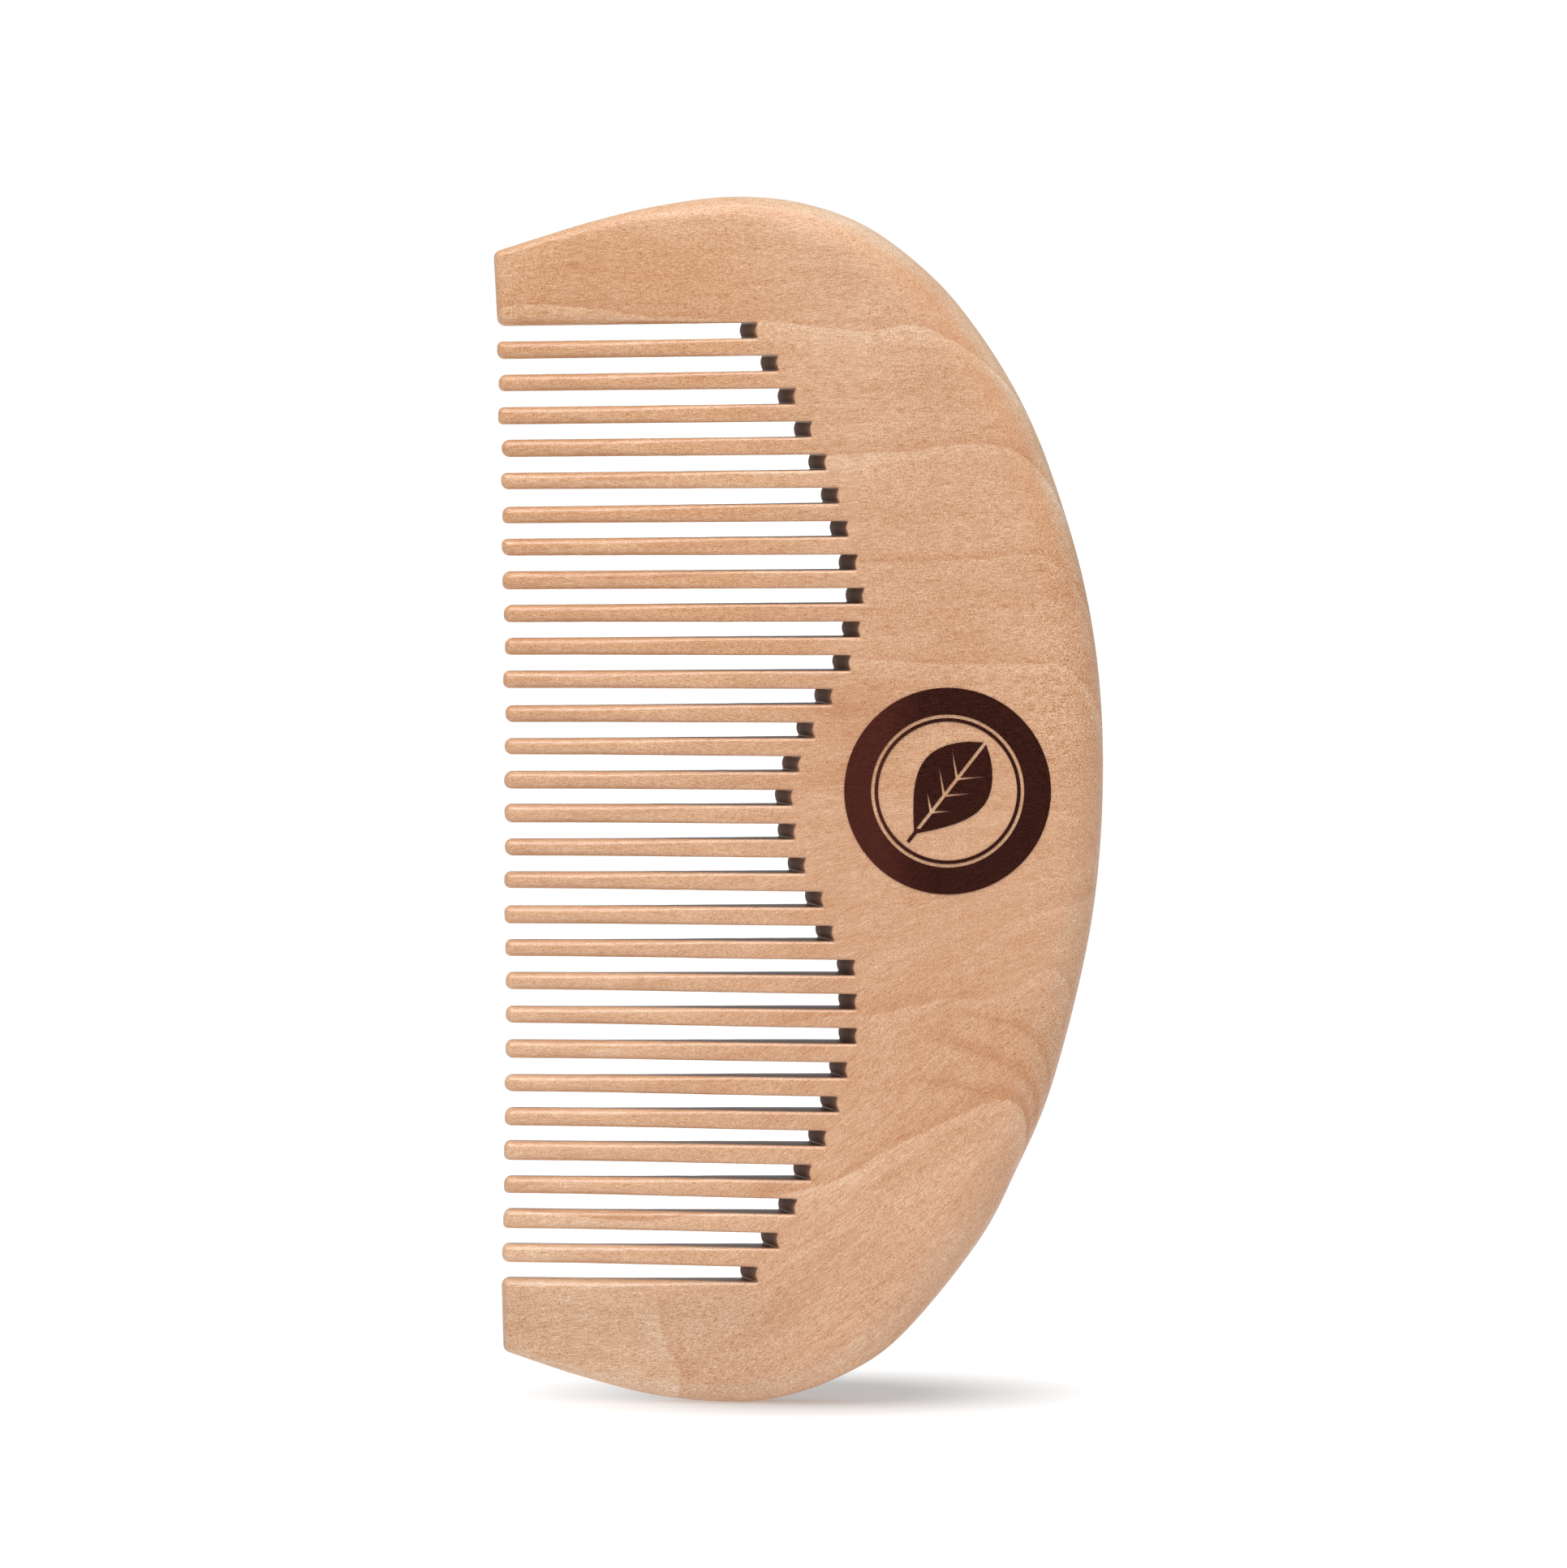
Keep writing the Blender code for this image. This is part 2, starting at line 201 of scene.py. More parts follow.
def tooth_tip_x(tooth):
    from_middle = (tooth - (TEETH + 1) / 2.0) / (TEETH / 2.0)
    return TOOTH_TIP_X - TOOTH_TIP_BOW * from_middle**2 + TOOTH_TIP_TILT * from_middle


def outer_edge(x):
    return blended(GUARD_EDGE, SPINE_EDGE, smoothstep(*EDGE_GROWS_X, x))


def comb_corners():
    """The corners of the comb's open side, from the lower guard's outer corner up to the upper guard's."""
    vary = random.Random(FINISH_SEED)
    tip_x, corner_z, radii = {}, {}, {}
    for tooth in range(1, TEETH + 1):
        tip_x[tooth] = tooth_tip_x(tooth) + vary.uniform(-TIP_VARIES, TIP_VARIES)
        for side in (-1, 1):
            corner_z[tooth, side] = -side * vary.uniform(*TIP_TAPER)
            radii[tooth, side] = vary.uniform(*TIP_RADII)
    upper, lower = (
        Vector((x, slot_wall(slot, x, side))) for x, slot, side in zip(GUARD_TIP_X, (0, TEETH), (1, -1))
    )
    corners = [
        Corner(Vector(SILHOUETTE[-1]), GUARD_CORNER_RADIUS, "guard_tip", None),
        Corner(lower, GUARD_CORNER_RADIUS, "guard_side", TEETH),
    ]
    for slot in range(TEETH, -1, -1):
        end = slot_end_x(slot)
        for side, kind in ((-1, "end"), (1, "guard_side" if slot == 0 else "wall")):
            x = end + vary.uniform(-END_VARIES, END_VARIES)
            corners.append(Corner(Vector((x, slot_wall(slot, end, side))), SLOT_END_RADIUS, kind, slot))
        if slot == 0:
            break
        for side, wall in ((-1, slot), (1, slot - 1)):
            x = tip_x[slot] + vary.uniform(-TIP_VARIES, TIP_VARIES) / 2.0
            point = Vector((x, slot_wall(wall, x, -side) + corner_z[slot, side]))
            kind, beside = ("tooth_tip", None) if side < 0 else ("wall", wall)
            corners.append(Corner(point, radii[slot, side], kind, beside))
    corners.append(Corner(upper, GUARD_CORNER_RADIUS, "guard_tip", None))
    corners.append(Corner(Vector(SILHOUETTE[0]), GUARD_CORNER_RADIUS, "spine", None))
    return corners


def edge_of(kind, x):
    """The edge rounding on a stretch of the outline at x."""
    if kind in ("wall", "guard_side"):
        wide = TOOTH_EDGE if kind == "wall" else GUARD_SIDE_EDGE
        return blended(wide, ROOT_EDGE, smoothstep(*TOOTH_EDGE_X, x))
    if kind == "spine":
        return outer_edge(x)
    return {"guard_tip": GUARD_EDGE, "tooth_tip": TOOTH_EDGE, "end": SLOT_END_EDGE}[kind]


def scorch_shade_of(kind, x):
    """How far the cut is darkened, by the saw's scorch and as painted shade in the slots: fully at the slots'
    ends, and less towards the sanded tips.
    """
    if kind == "end":
        return 1.0
    return smoothstep(*SCORCH_SHADE_X, x) if kind in ("wall", "guard_side") else 0.0


def sanding_and_sheen_of(rim, step):
    """How far a rim's rounding is paled, for sanding and as painted sheen, at one of the rounding's steps."""
    x, z = rim.point
    if rim.slot is not None:
        return 0.0
    shoulder = SHOULDER_LEAST + (1.0 - SHOULDER_LEAST) * smoothstep(*SHOULDER_X, x)
    shoulder *= smoothstep(*SHOULDER_Z, z)
    low = LOW_SANDING_AND_SHEEN * smoothstep(*LOW_SHEEN_FROM, z) * (1.0 - smoothstep(*LOW_SHEEN_TO, z))
    low += FOOT_SANDING_AND_SHEEN * (1.0 - smoothstep(*FOOT_Z, z))
    return shoulder * SHOULDER_ARC[step] + low * LOW_ARC[step]


def inward_of(along):
    """The way into the board from an outline that runs this way, clockwise."""
    return Vector((along.y, -along.x))


def straight_rims(start, end, kind, slot):
    """Rims along a straight stretch, slightly wavy, and humped where it crosses a slot's end."""
    along = (end - start).normalized()
    inward = inward_of(along)
    length = (end - start).length
    steps = max(round(length / RUN_STEP), END_STEPS if kind == "end" else 1)
    rims = []
    for step in range(1, steps):
        share = step / steps
        point = start.lerp(end, share)
        ease = 4.0 * share * (1.0 - share)
        spot = Vector((point.x * WAVE_SCALE[0], point.y * WAVE_SCALE[1], 0.0))
        wave = WAVINESS * ease * noise.noise(spot)
        hump = SLOT_END_HUMP * ease if kind == "end" else 0.0
        edge, scorch = edge_of(kind, point.x), scorch_shade_of(kind, point.x)
        rims.append(Rim(point + inward * (wave - hump), inward, edge, scorch, slot))
    return rims


def corner_rims(corner, before, after, kinds, slots):
    """Rims round a corner's arc, where the edge of the stretch before turns into that of the next."""
    first, last = inward_of(before), inward_of(after)
    mitre = (first + last) / (1.0 + first.dot(last))
    turn = first.angle_signed(last)  # clockwise positive
    convex = turn > 0
    radius = corner.radius
    steps = max(CORNER_STEPS, round(abs(math.degrees(turn)) / (CONVEX_STEP if convex else CONCAVE_STEP)))
    edges = [edge_of(kind, corner.point.x) for kind in kinds]
    scorch_shades = [(scorch_shade_of(kind, corner.point.x),) for kind in kinds]
    slot = slots[0] if slots[0] is not None else slots[1]
    rims = []
    for step in range(steps + 1):
        share = step / steps
        inward = Matrix.Rotation(-turn * share, 2) @ first
        centre = corner.point + mitre * (radius if convex else -radius)
        point = centre - inward * (radius if convex else -radius)
        rim = Rim(point, inward, blended(*edges, share), *blended(*scorch_shades, share), slot)
        if convex:
            rim = rim._replace(mitre=mitre, limit=radius - SMALLEST_RADIUS)
        rims.append(rim)
    return rims


def spine_rims(curve):
    """Rims along the spine, clear of the arcs at the guards' corners."""
    rims = []
    for before, point, after in zip(curve, curve[1:], curve[2:]):
        if min((point - curve[0]).length, (point - curve[-1]).length) > GUARD_CORNER_RADIUS:
            rims.append(Rim(point, inward_of((after - before).normalized()), outer_edge(point.x), 0.0, None))
    return rims


def outline():
    """Every rim round the comb, clockwise from the front: the spine, then the open side, going up."""
    curve = silhouette()
    corners = comb_corners()
    rims = spine_rims(curve)
    ways = [curve[-1] - curve[-2]]
    ways += [after.point - corner.point for corner, after in zip(corners, corners[1:])]
    ways.append(curve[1] - curve[0])
    ways = [way.normalized() for way in ways]
    kinds = ["spine", *(corner.kind for corner in corners)]
    slots = [None, *(corner.slot for corner in corners)]
    arcs = [
        corner_rims(corner, ways[index], ways[index + 1], kinds[index : index + 2], slots[index : index + 2])
        for index, corner in enumerate(corners)
    ]
    for corner, arc, following in zip(corners, arcs, arcs[1:]):
        rims += arc
        rims += straight_rims(arc[-1].point, following[0].point, corner.kind, corner.slot)
    return rims + arcs[-1]


def placed(rim, inset):
    """The outline's point this far in from a rim. Past an arc's centre it follows the corner's bisector."""
    beyond = max(inset - rim.limit, 0.0)
    return rim.point + rim.inward * (inset - beyond) + rim.mitre * beyond


def column(rim):
    """A rim's points from the front face to the rear, rounding, cut band, rounding, each with its scorch and
    painted shade and its paling for sanding and painted sheen.
    """
    reach, crown, drop = rim.edge
    front = []
    for step in range(ARC_STEPS + 1):
        angle = ARC_END * step / ARC_STEPS
        inset = reach - (reach - crown) * math.sin(angle) / math.sin(ARC_END)
        depth = drop * (1.0 - math.cos(angle)) / (1.0 - math.cos(ARC_END))
        spot = placed(rim, inset)
        front.append((spot, depth - half_thickness(spot.x), sanding_and_sheen_of(rim, step)))
    crease = front[-1][1]
    points = [(spot, y, 0.0, sanded_sheen) for spot, y, sanded_sheen in front]
    for share in BAND_SHARES:
        spot = placed(rim, crown * (2.0 * share - 1.0) ** 2)
        points.append((spot, crease * (1.0 - 2.0 * share), rim.scorch, front[-1][2]))
    points += [(spot, -y, 0.0, sanded_sheen) for spot, y, sanded_sheen in reversed(front)]
    return [(leaned(spot.x, y, rim.slot), y, spot.y, scorch, sanded_sheen) for spot, y, scorch, sanded_sheen in points]


def leaned(x, y, slot):
    """x moved for the lean of a slot's end, which grows along the slot and from front to rear."""
    if slot is None:
        return x
    end = slot_end_x(slot)
    grown = smoothstep(end - LEAN_RUN, end, x)
    return x - SLOT_LEAN * grown * (0.5 + 0.5 * y / half_thickness(x))


def grid_inside(ring):
    """A grid of (x, z) points inside the face's outline and clear of it."""
    edge = np.array(ring)
    low, high = edge.min(axis=0), edge.max(axis=0)
    start, end = edge, np.roll(edge, -1, axis=0)
    inside = []
    for x in np.arange(low[0] + FACE_MARGIN, high[0], FACE_GRID):
        for z in np.arange(low[1] + FACE_MARGIN, high[1], FACE_GRID):
            if np.hypot(edge[:, 0] - x, edge[:, 1] - z).min() <= FACE_CLEARANCE:
                continue
            crossing = (start[:, 1] > z) != (end[:, 1] > z)
            share = (z - start[:, 1]) / (end[:, 1] - start[:, 1] + NEVER_ZERO)
            left_of = x < start[:, 0] + share * (end[:, 0] - start[:, 0])
            if (crossing & left_of).sum() % 2:
                inside.append((float(x), float(z)))
    return inside


def in_scene(name, data):
    """A new object, linked to the scene."""
    made = bpy.data.objects.new(name, data)
    bpy.context.scene.collection.objects.link(made)
    return made


def make_comb():
    """The whole comb as one closed mesh, with attributes for the scorched walls and their painted shade, and
    for the rounding's sanding and painted sheen.
    """
    columns = [column(rim) for rim in outline()]
    rings = list(zip(*columns))
    points = [point for ring in rings for point in ring]
    across = len(columns)
    faces = []
    for level in range(len(rings) - 1):
        for index in range(across):
            following = (index + 1) % across
            upper, lower = level * across, (level + 1) * across
            faces.append((upper + index, upper + following, lower + following, lower + index))
    for level, side in ((0, -1), (len(rings) - 1, 1)):
        ring = [(point[0], point[2]) for point in rings[level]]
        inner = grid_inside(ring)
        inner_indices = range(len(points), len(points) + len(inner))
        indices = [*range(level * across, (level + 1) * across), *inner_indices]
        points += [(x, side * half_thickness(x), z, 0.0, 0.0) for x, z in inner]
        flat = [Vector(point) for point in (*ring, *inner)]
        for face in delaunay_2d_cdt(flat, [], [range(across)], FILL_INSIDE, FILL_PRECISION)[2]:
            corners = [indices[corner] for corner in face]
            faces.append(corners if side < 0 else corners[::-1])
    mesh = bpy.data.meshes.new("comb")
    mesh.from_pydata([(x * MM, y * MM, z * MM) for x, y, z, *wear_shade_and_sheen in points], [], faces)
    for name, index in (("scorch", 3), ("sanded_sheen", 4)):
        attribute = mesh.attributes.new(name, "FLOAT", "POINT")
        attribute.data.foreach_set("value", [point[index] for point in points])
    # Faces that are fully darkened by the saw's scorch and the painted shade take the second material
    scorch_shaded_faces = [min(points[corner][3] for corner in face) > FULLY_SCORCH_SHADED for face in faces]
    mesh.polygons.foreach_set("material_index", scorch_shaded_faces)
    mesh.shade_smooth()
    return in_scene("comb", mesh)


# ---------------------------------------------------------------- materials

WOOD_SHADES = ((0.365, 0.171, 0.079), (0.447, 0.253, 0.144), (0.524, 0.348, 0.228))  # dark, middle and pale
WOOD_ROUGHNESS, WOOD_SPECULAR = 0.43, 0.6
SPECKLE_GLOSS = 0.02  # the speckle's pale dots are this much smoother
SANDED_ROUGHNESS = 0.3  # how much rougher the sanded rounding is
# The saw's scorch, darkened further as painted shade in the slots
SCORCH_SHADE_COLOUR = (0.27, 0.145, 0.092)
SCORCH_SHADE_STREAKS = 1.4
SCORCH_SHADE_ROUGHNESS, SCORCH_SHADE_SPECULAR = 0.65, 0.1
INK = (0.0265, 0.0068, 0.0046)
INK_ROUGHNESS, INK_SPECULAR = 0.55, 0.02
INK_THINS_X, INK_THINNING = (7.5, 13.0), 0.85  # the print is fainter on its left side
INK_SPECKLE, INK_SPECKLE_ROUGHNESS = 0.22, 0.03  # how strongly the wood's speckle shows in the print
INK_BUMP, INK_BUMP_HEIGHT = 0.3, 0.03

# Noises: scales along the grain, into the board and across the grain, then detail, roughness and seed
WANDER = ((0.12, 0.2, 0.3), 2.0, 0.5, 0.0)
HAIRS = ((0.85, 12.0, 12.0), 1.0, 0.5, 0.0)
FINE_DOTS = ((12.0, 13.0, 13.0), 0.0, 0.5, 7.0)
STREAKS = ((0.12, 1.3, 1.3), 3.0, 0.65, 3.0)
MOTTLE = ((0.10, 0.22, 0.22), 2.0, 0.5, 11.0)
DASHES = ((0.35, 3.0, 3.0), 1.0, 0.5, 17.0)
CHAR = ((5.0, 5.0, 0.6), 2.0, 0.6, 5.0)

# The grain runs along X. It rises slightly towards the spine, and below the comb's middle it climbs there
GRAIN_RISE = 0.05
GRAIN_CLIMB, CLIMB_FROM_X, CLIMB_EASE, CLIMB_Z = 0.74, -6.0, 8.0, (38.0, 66.0)

# The speckle of hairs and fine dots, and how much it changes red, green and blue
HAIR_DEPTH, FINE_DEPTH = 8.6, 11.5
SPECKLE_DEPTH = (0.080, 0.13, 0.19)
END_GRAIN, END_GRAIN_X = 0.7, (21.0, 28.5)  # how much stronger the speckle is on the spine

# Tones: 0.5 is the middle shade of wood, 0 the dark one and 1 the pale one
MOTTLE_TONE, STREAK_TONE = 0.6, 0.62
DASH_TONE, DASH_FROM = -0.35, (0.16, 0.30)

# Growth rings drop by the tilt for each millimetre into the board, and wander within this height. The layers
# between them have tones of their own, by the height at which they meet the front face
RING_TILT = 1.9
RING_WANDER = 0.9
LAYER_TONES = (
    (-20, 0.0), (16, -0.01), (24, -0.06), (32, -0.19), (44, -0.16), (54, -0.14), (68, -0.14), (82, -0.13),
    (92, -0.05), (100, -0.06), (106, 0.0), (130, 0.0),
)

# Growth lines on the front face: (x, z) points, then how much darker it is above and paler below, each with
# its reach, and where the line starts if it doesn't cross the whole board
Line = namedtuple("Line", "points above above_reach below below_reach start_x", defaults=(-40.0,))
GROWTH_LINES = (
    Line(((-32, 108.7), (-26.7, 109.3), (-20.6, 108.8), (-13.9, 108.0), (-3.8, 107.6), (6.1, 106.7),
          (11.8, 107.1), (15.1, 106.5), (22, 105.6), (32, 104)), 0.19, 1.8, 0.32, 2.4),
    Line(((-32, 93.9), (2.8, 94.4), (11.3, 94.9), (16.4, 95.4), (19.3, 95.5), (32, 95.2)),
         0.16, 1.8, 0.28, 3.0),
    Line(((-32, 84.4), (6.1, 83.9), (16.4, 84.05), (22.9, 84.5), (32, 84.2)), 0.18, 1.6, 0.16, 1.6),
    Line(((-32, 74.4), (5.4, 74.2), (9.4, 73.9), (15.9, 73.6), (21.5, 73.8), (32, 73.6)),
         0.15, 1.6, 0.24, 2.0),
    Line(((-32, 60.0), (22, 59.3), (32, 58.9)), 0.06, 2.5, 0.06, 2.5),
    Line(((-32, 37.5), (7.8, 39.0), (11.0, 39.6), (14.4, 40.3), (19.1, 40.5), (22.4, 42.0), (25.0, 43.8),
          (32, 45)), 0.15, 1.8, 0.10, 2.0),
    Line(((-32, 39.5), (14.0, 39.2), (18.5, 38.7), (21.2, 38.0), (23.1, 37.2), (32, 35.5)),
         0.28, 1.0, -0.28, 0.6, 16.5),
    Line(((-32, 37.0), (14.8, 36.3), (19.1, 34.7), (21.7, 33.6), (24.4, 33.1), (32, 32)),
         0.34, 1.4, -0.34, 0.8, 14.0),
    Line(((-32, 32.5), (15.0, 32.0), (17.7, 31.3), (20.4, 30.9), (32, 30.5)), 0.24, 1.0, -0.24, 0.6, 13.0),
    Line(((-32, 21.0), (1.7, 21.85), (5.6, 23.3), (7.7, 24.8), (11.8, 26.9), (15.1, 28.3), (19.3, 30.3),
          (21.6, 30.6), (24.0, 30.6), (32, 30.0)), 0.26, 3.0, 0.22, 3.0),
)
# One more stands almost upright in the lower guard: (z, x) points, with right for above and left for below
GUARD_LINE = Line(((-5, -11.8), (0.8, -11.9), (3.8, -11.9), (5.0, -12.6), (7.4, -13.6), (15, -14.2)),
                  0.20, 2.4, 0.16, 2.6)
GUARD_LINE_END_Z = (9.0, 11.5)
RING_REACH = 5.0  # no line's tone reaches further than this
LINE_HALF_WIDTH = 0.1
LINE_FADE = 2.5
CURVE_OFFSET, CURVE_SCALE = 40.0, 180.0  # they bring a curve's values between 0 and 1

# Patches of tone: deeper in the upper guard and beside the slots, and paler below this line along the top
GUARD_TONE, GUARD_TONE_X, GUARD_TONE_Z = -0.09, (-20.0, -6.0), (104.0, 111.0)
TOP_EDGE = (
    (-32, 114.7), (-25, 117), (-16, 119.3), (-9.7, 120), (-3.6, 120), (2.5, 118.6), (8.6, 115), (14.7, 108.6),
    (20, 101),
)
TOP_TONE, TOP_REACH, TOP_END_X = 0.18, (-6.0, -1.8), (4.0, 16.0)
WARM_TONE, WARM_PLACE, WARM_REACH = -0.2, (5.0, 0.0, 67.5), (2.0, 9.0)

# Patches of shade: the board is darker at its foot, and the lower guard more so
FOOT_SHADE, FOOT_SHADE_Z = 0.06, (12.0, 26.0)
LOW_GUARD_SHADE, LOW_GUARD_X, LOW_GUARD_Z = 0.15, (-8.0, 6.0), (9.0, 14.0)

# Changes to red, green and blue: where the lower teeth are paler and greyer, the upper ones deeper in colour,
# and the rounding paled for its sanding and as painted sheen
LOWER_TEETH_CHANGE, LOWER_TEETH_X, LOWER_TEETH_Z = (0.07, 0.14, 0.20), (-20.0, -4.0), (40.0, 66.0)
UPPER_TEETH_CHANGE, UPPER_TEETH_X, UPPER_TEETH_Z = (-0.03, -0.09, -0.18), (-9.0, 4.0), (64.0, 80.0)
# the rounding's paling, for sanding and as painted sheen
SANDED_SHEEN_CHANGE = (0.02, 0.13, 0.24)

MIX_FIRST, MIX_SECOND, MIX_RESULT = 6, 7, 2  # the Mix node's colour sockets, whose names aren't their own


def add(tree, kind, inputs=(), output=0, **settings):
    """A new shader node: its settings, its inputs as values or links, and the output that is asked for."""
    made = tree.nodes.new("ShaderNode" + kind)
    for name, value in settings.items():
        setattr(made, name, value)
    for key, value in dict(inputs).items():
        if isinstance(value, bpy.types.NodeSocket):
            tree.links.new(value, made.inputs[key])
        else:
            made.inputs[key].default_value = value
    return made.outputs[output]


def calc(tree, operation, *terms):
    return add(tree, "Math", enumerate(terms), operation=operation)


def eased(tree, value, low, high):
    """0 below low, 1 above high, and smooth between them."""
    inputs = {"Value": value, "From Min": low, "From Max": high}
    return add(tree, "MapRange", inputs, interpolation_type="SMOOTHSTEP")


def faded(tree, value, low, high):
    """1 below low, 0 above high, and smooth between them."""
    return calc(tree, "SUBTRACT", 1.0, eased(tree, value, low, high))


def scaled(tree, vector, factor):
    return add(tree, "VectorMath", {0: vector, "Scale": factor}, operation="SCALE")


def combined(tree, operation, first, second):
    return add(tree, "VectorMath", {0: first, 1: second}, operation=operation)


def board_place(tree):
    """The place in the board, as x, y and z in millimetres."""
    spot = scaled(tree, add(tree, "TexCoord", output="Object"), 1.0 / MM)
    return tuple(add(tree, "SeparateXYZ", {0: spot}).node.outputs)


def grain_noise(tree, place, scales, detail, roughness, seed):
    """Noise from -0.5 to 0.5, stretched by a scale for each axis, per millimetre."""
    terms = [calc(tree, "MULTIPLY_ADD", value, scale, seed) for value, scale in zip(place, scales)]
    vector = add(tree, "CombineXYZ", enumerate(terms))
    inputs = {"Vector": vector, "Scale": 1.0, "Detail": detail, "Roughness": roughness}
    return calc(tree, "SUBTRACT", add(tree, "TexNoise", inputs), 0.5)


def curve_through(tree, along, points):
    """A smooth curve through (at, value) points, from the first to the last."""
    low, high = points[0][0], points[-1][0]
    share = calc(tree, "DIVIDE", calc(tree, "SUBTRACT", along, low), high - low)
    curve = add(tree, "FloatCurve", {"Value": share})
    spline = curve.node.mapping.curves[0]
    for at, value in points[1:-1]:
        spline.points.new((at - low) / (high - low), (value + CURVE_OFFSET) / CURVE_SCALE)
    spline.points[0].location = (0.0, (points[0][1] + CURVE_OFFSET) / CURVE_SCALE)
    spline.points[len(points) - 1].location = (1.0, (points[-1][1] + CURVE_OFFSET) / CURVE_SCALE)
    curve.node.mapping.update()
    return calc(tree, "MULTIPLY_ADD", curve, CURVE_SCALE, -CURVE_OFFSET)


def growth_line(tree, along, across, line, tilt):
    """The tone beside a growth line: dark above it, pale below it, with a sharp change on the line."""
    risen = [(at, value + tilt * (BACK_THICKNESS / 2.0 - half_thickness(at))) for at, value in line.points]
    past = calc(tree, "SUBTRACT", across, curve_through(tree, along, risen))
    ramp = add(tree, "ValToRGB", {"Fac": calc(tree, "MULTIPLY_ADD", past, 0.5 / RING_REACH, 0.5)})
    stops = ramp.node.color_ramp.elements
    stops[0].position = 0.5 - 0.5 * line.below_reach / RING_REACH
    stops[1].position = 0.5 + 0.5 * line.above_reach / RING_REACH
    stops.new(0.5 - 0.5 * LINE_HALF_WIDTH / RING_REACH)
    stops.new(0.5 + 0.5 * LINE_HALF_WIDTH / RING_REACH)
    for stop, tone in zip(stops, (0.5, 0.5 + line.below, 0.5 - line.above, 0.5)):
        stop.color = (tone, tone, tone, 1.0)
    started = eased(tree, along, line.start_x - LINE_FADE, line.start_x + LINE_FADE)
    return calc(tree, "MULTIPLY", calc(tree, "SUBTRACT", ramp, 0.5), started)


def grain_place(tree, place):
    """The place along the grain, into the board and across the grain."""
    x, y, z = place
    climb = calc(tree, "SMOOTH_MAX", calc(tree, "SUBTRACT", x, CLIMB_FROM_X), 0.0, CLIMB_EASE)
    climb = calc(tree, "MULTIPLY", calc(tree, "MULTIPLY", climb, GRAIN_CLIMB), faded(tree, z, *CLIMB_Z))
    return x, y, calc(tree, "MULTIPLY_ADD", x, -GRAIN_RISE, calc(tree, "SUBTRACT", z, climb))


def ring_height(tree, place):
    """The height at which the growth ring through this place meets the plane of the flat front face."""
    depth = calc(tree, "ADD", place[1], BACK_THICKNESS / 2.0)
    height = calc(tree, "MULTIPLY_ADD", depth, RING_TILT, place[2])
    return calc(tree, "MULTIPLY_ADD", grain_noise(tree, place, *WANDER), RING_WANDER, height)


def grain_tone(tree, grain):
    """The tone of the mottle and the streaks, with the short dark dashes among them."""
    tone = calc(tree, "MULTIPLY_ADD", grain_noise(tree, grain, *MOTTLE), MOTTLE_TONE, 0.5)
    tone = calc(tree, "MULTIPLY_ADD", grain_noise(tree, grain, *STREAKS), STREAK_TONE, tone)
    dashes = eased(tree, grain_noise(tree, grain, *DASHES), *DASH_FROM)
    return calc(tree, "MULTIPLY_ADD", dashes, DASH_TONE, tone)


def ring_tone(tree, place, tone):
    """The tone with the growth rings' layers and the lines between them."""
    x, _, z = place
    height = ring_height(tree, place)
    tone = calc(tree, "ADD", tone, curve_through(tree, height, LAYER_TONES))
    for line in GROWTH_LINES:
        tone = calc(tree, "ADD", tone, growth_line(tree, x, height, line, RING_TILT))
    upright = growth_line(tree, z, x, GUARD_LINE, 0.0)
    return calc(tree, "MULTIPLY_ADD", upright, faded(tree, z, *GUARD_LINE_END_Z), tone)


def patch_tone(tree, place, tone):
    """The tone with its patches in the upper guard, below the top edge and beside the slots."""
    x, _, z = place
    in_guard = calc(tree, "MULTIPLY", faded(tree, x, *GUARD_TONE_X), eased(tree, z, *GUARD_TONE_Z))
    tone = calc(tree, "MULTIPLY_ADD", in_guard, GUARD_TONE, tone)
    near_top = eased(tree, calc(tree, "SUBTRACT", z, curve_through(tree, x, TOP_EDGE)), *TOP_REACH)
    near_top = calc(tree, "MULTIPLY", near_top, faded(tree, x, *TOP_END_X))
    tone = calc(tree, "MULTIPLY_ADD", near_top, TOP_TONE, tone)
    on_face = add(tree, "CombineXYZ", {0: x, 2: z})
    distance = add(tree, "VectorMath", {0: on_face, 1: WARM_PLACE}, output="Value", operation="DISTANCE")
    return calc(tree, "MULTIPLY_ADD", faded(tree, distance, *WARM_REACH), WARM_TONE, tone)


def speckle_of(tree, grain):
    """The speckle of hairs and fine dots, around 0 and stronger on the spine."""
    hairs = calc(tree, "MULTIPLY", grain_noise(tree, grain, *HAIRS), HAIR_DEPTH)
    speckle = calc(tree, "MULTIPLY_ADD", grain_noise(tree, grain, *FINE_DOTS), FINE_DEPTH, hairs)
    growth = calc(tree, "MULTIPLY_ADD", eased(tree, grain[0], *END_GRAIN_X), END_GRAIN, 1.0)
    return calc(tree, "MULTIPLY", speckle, growth)


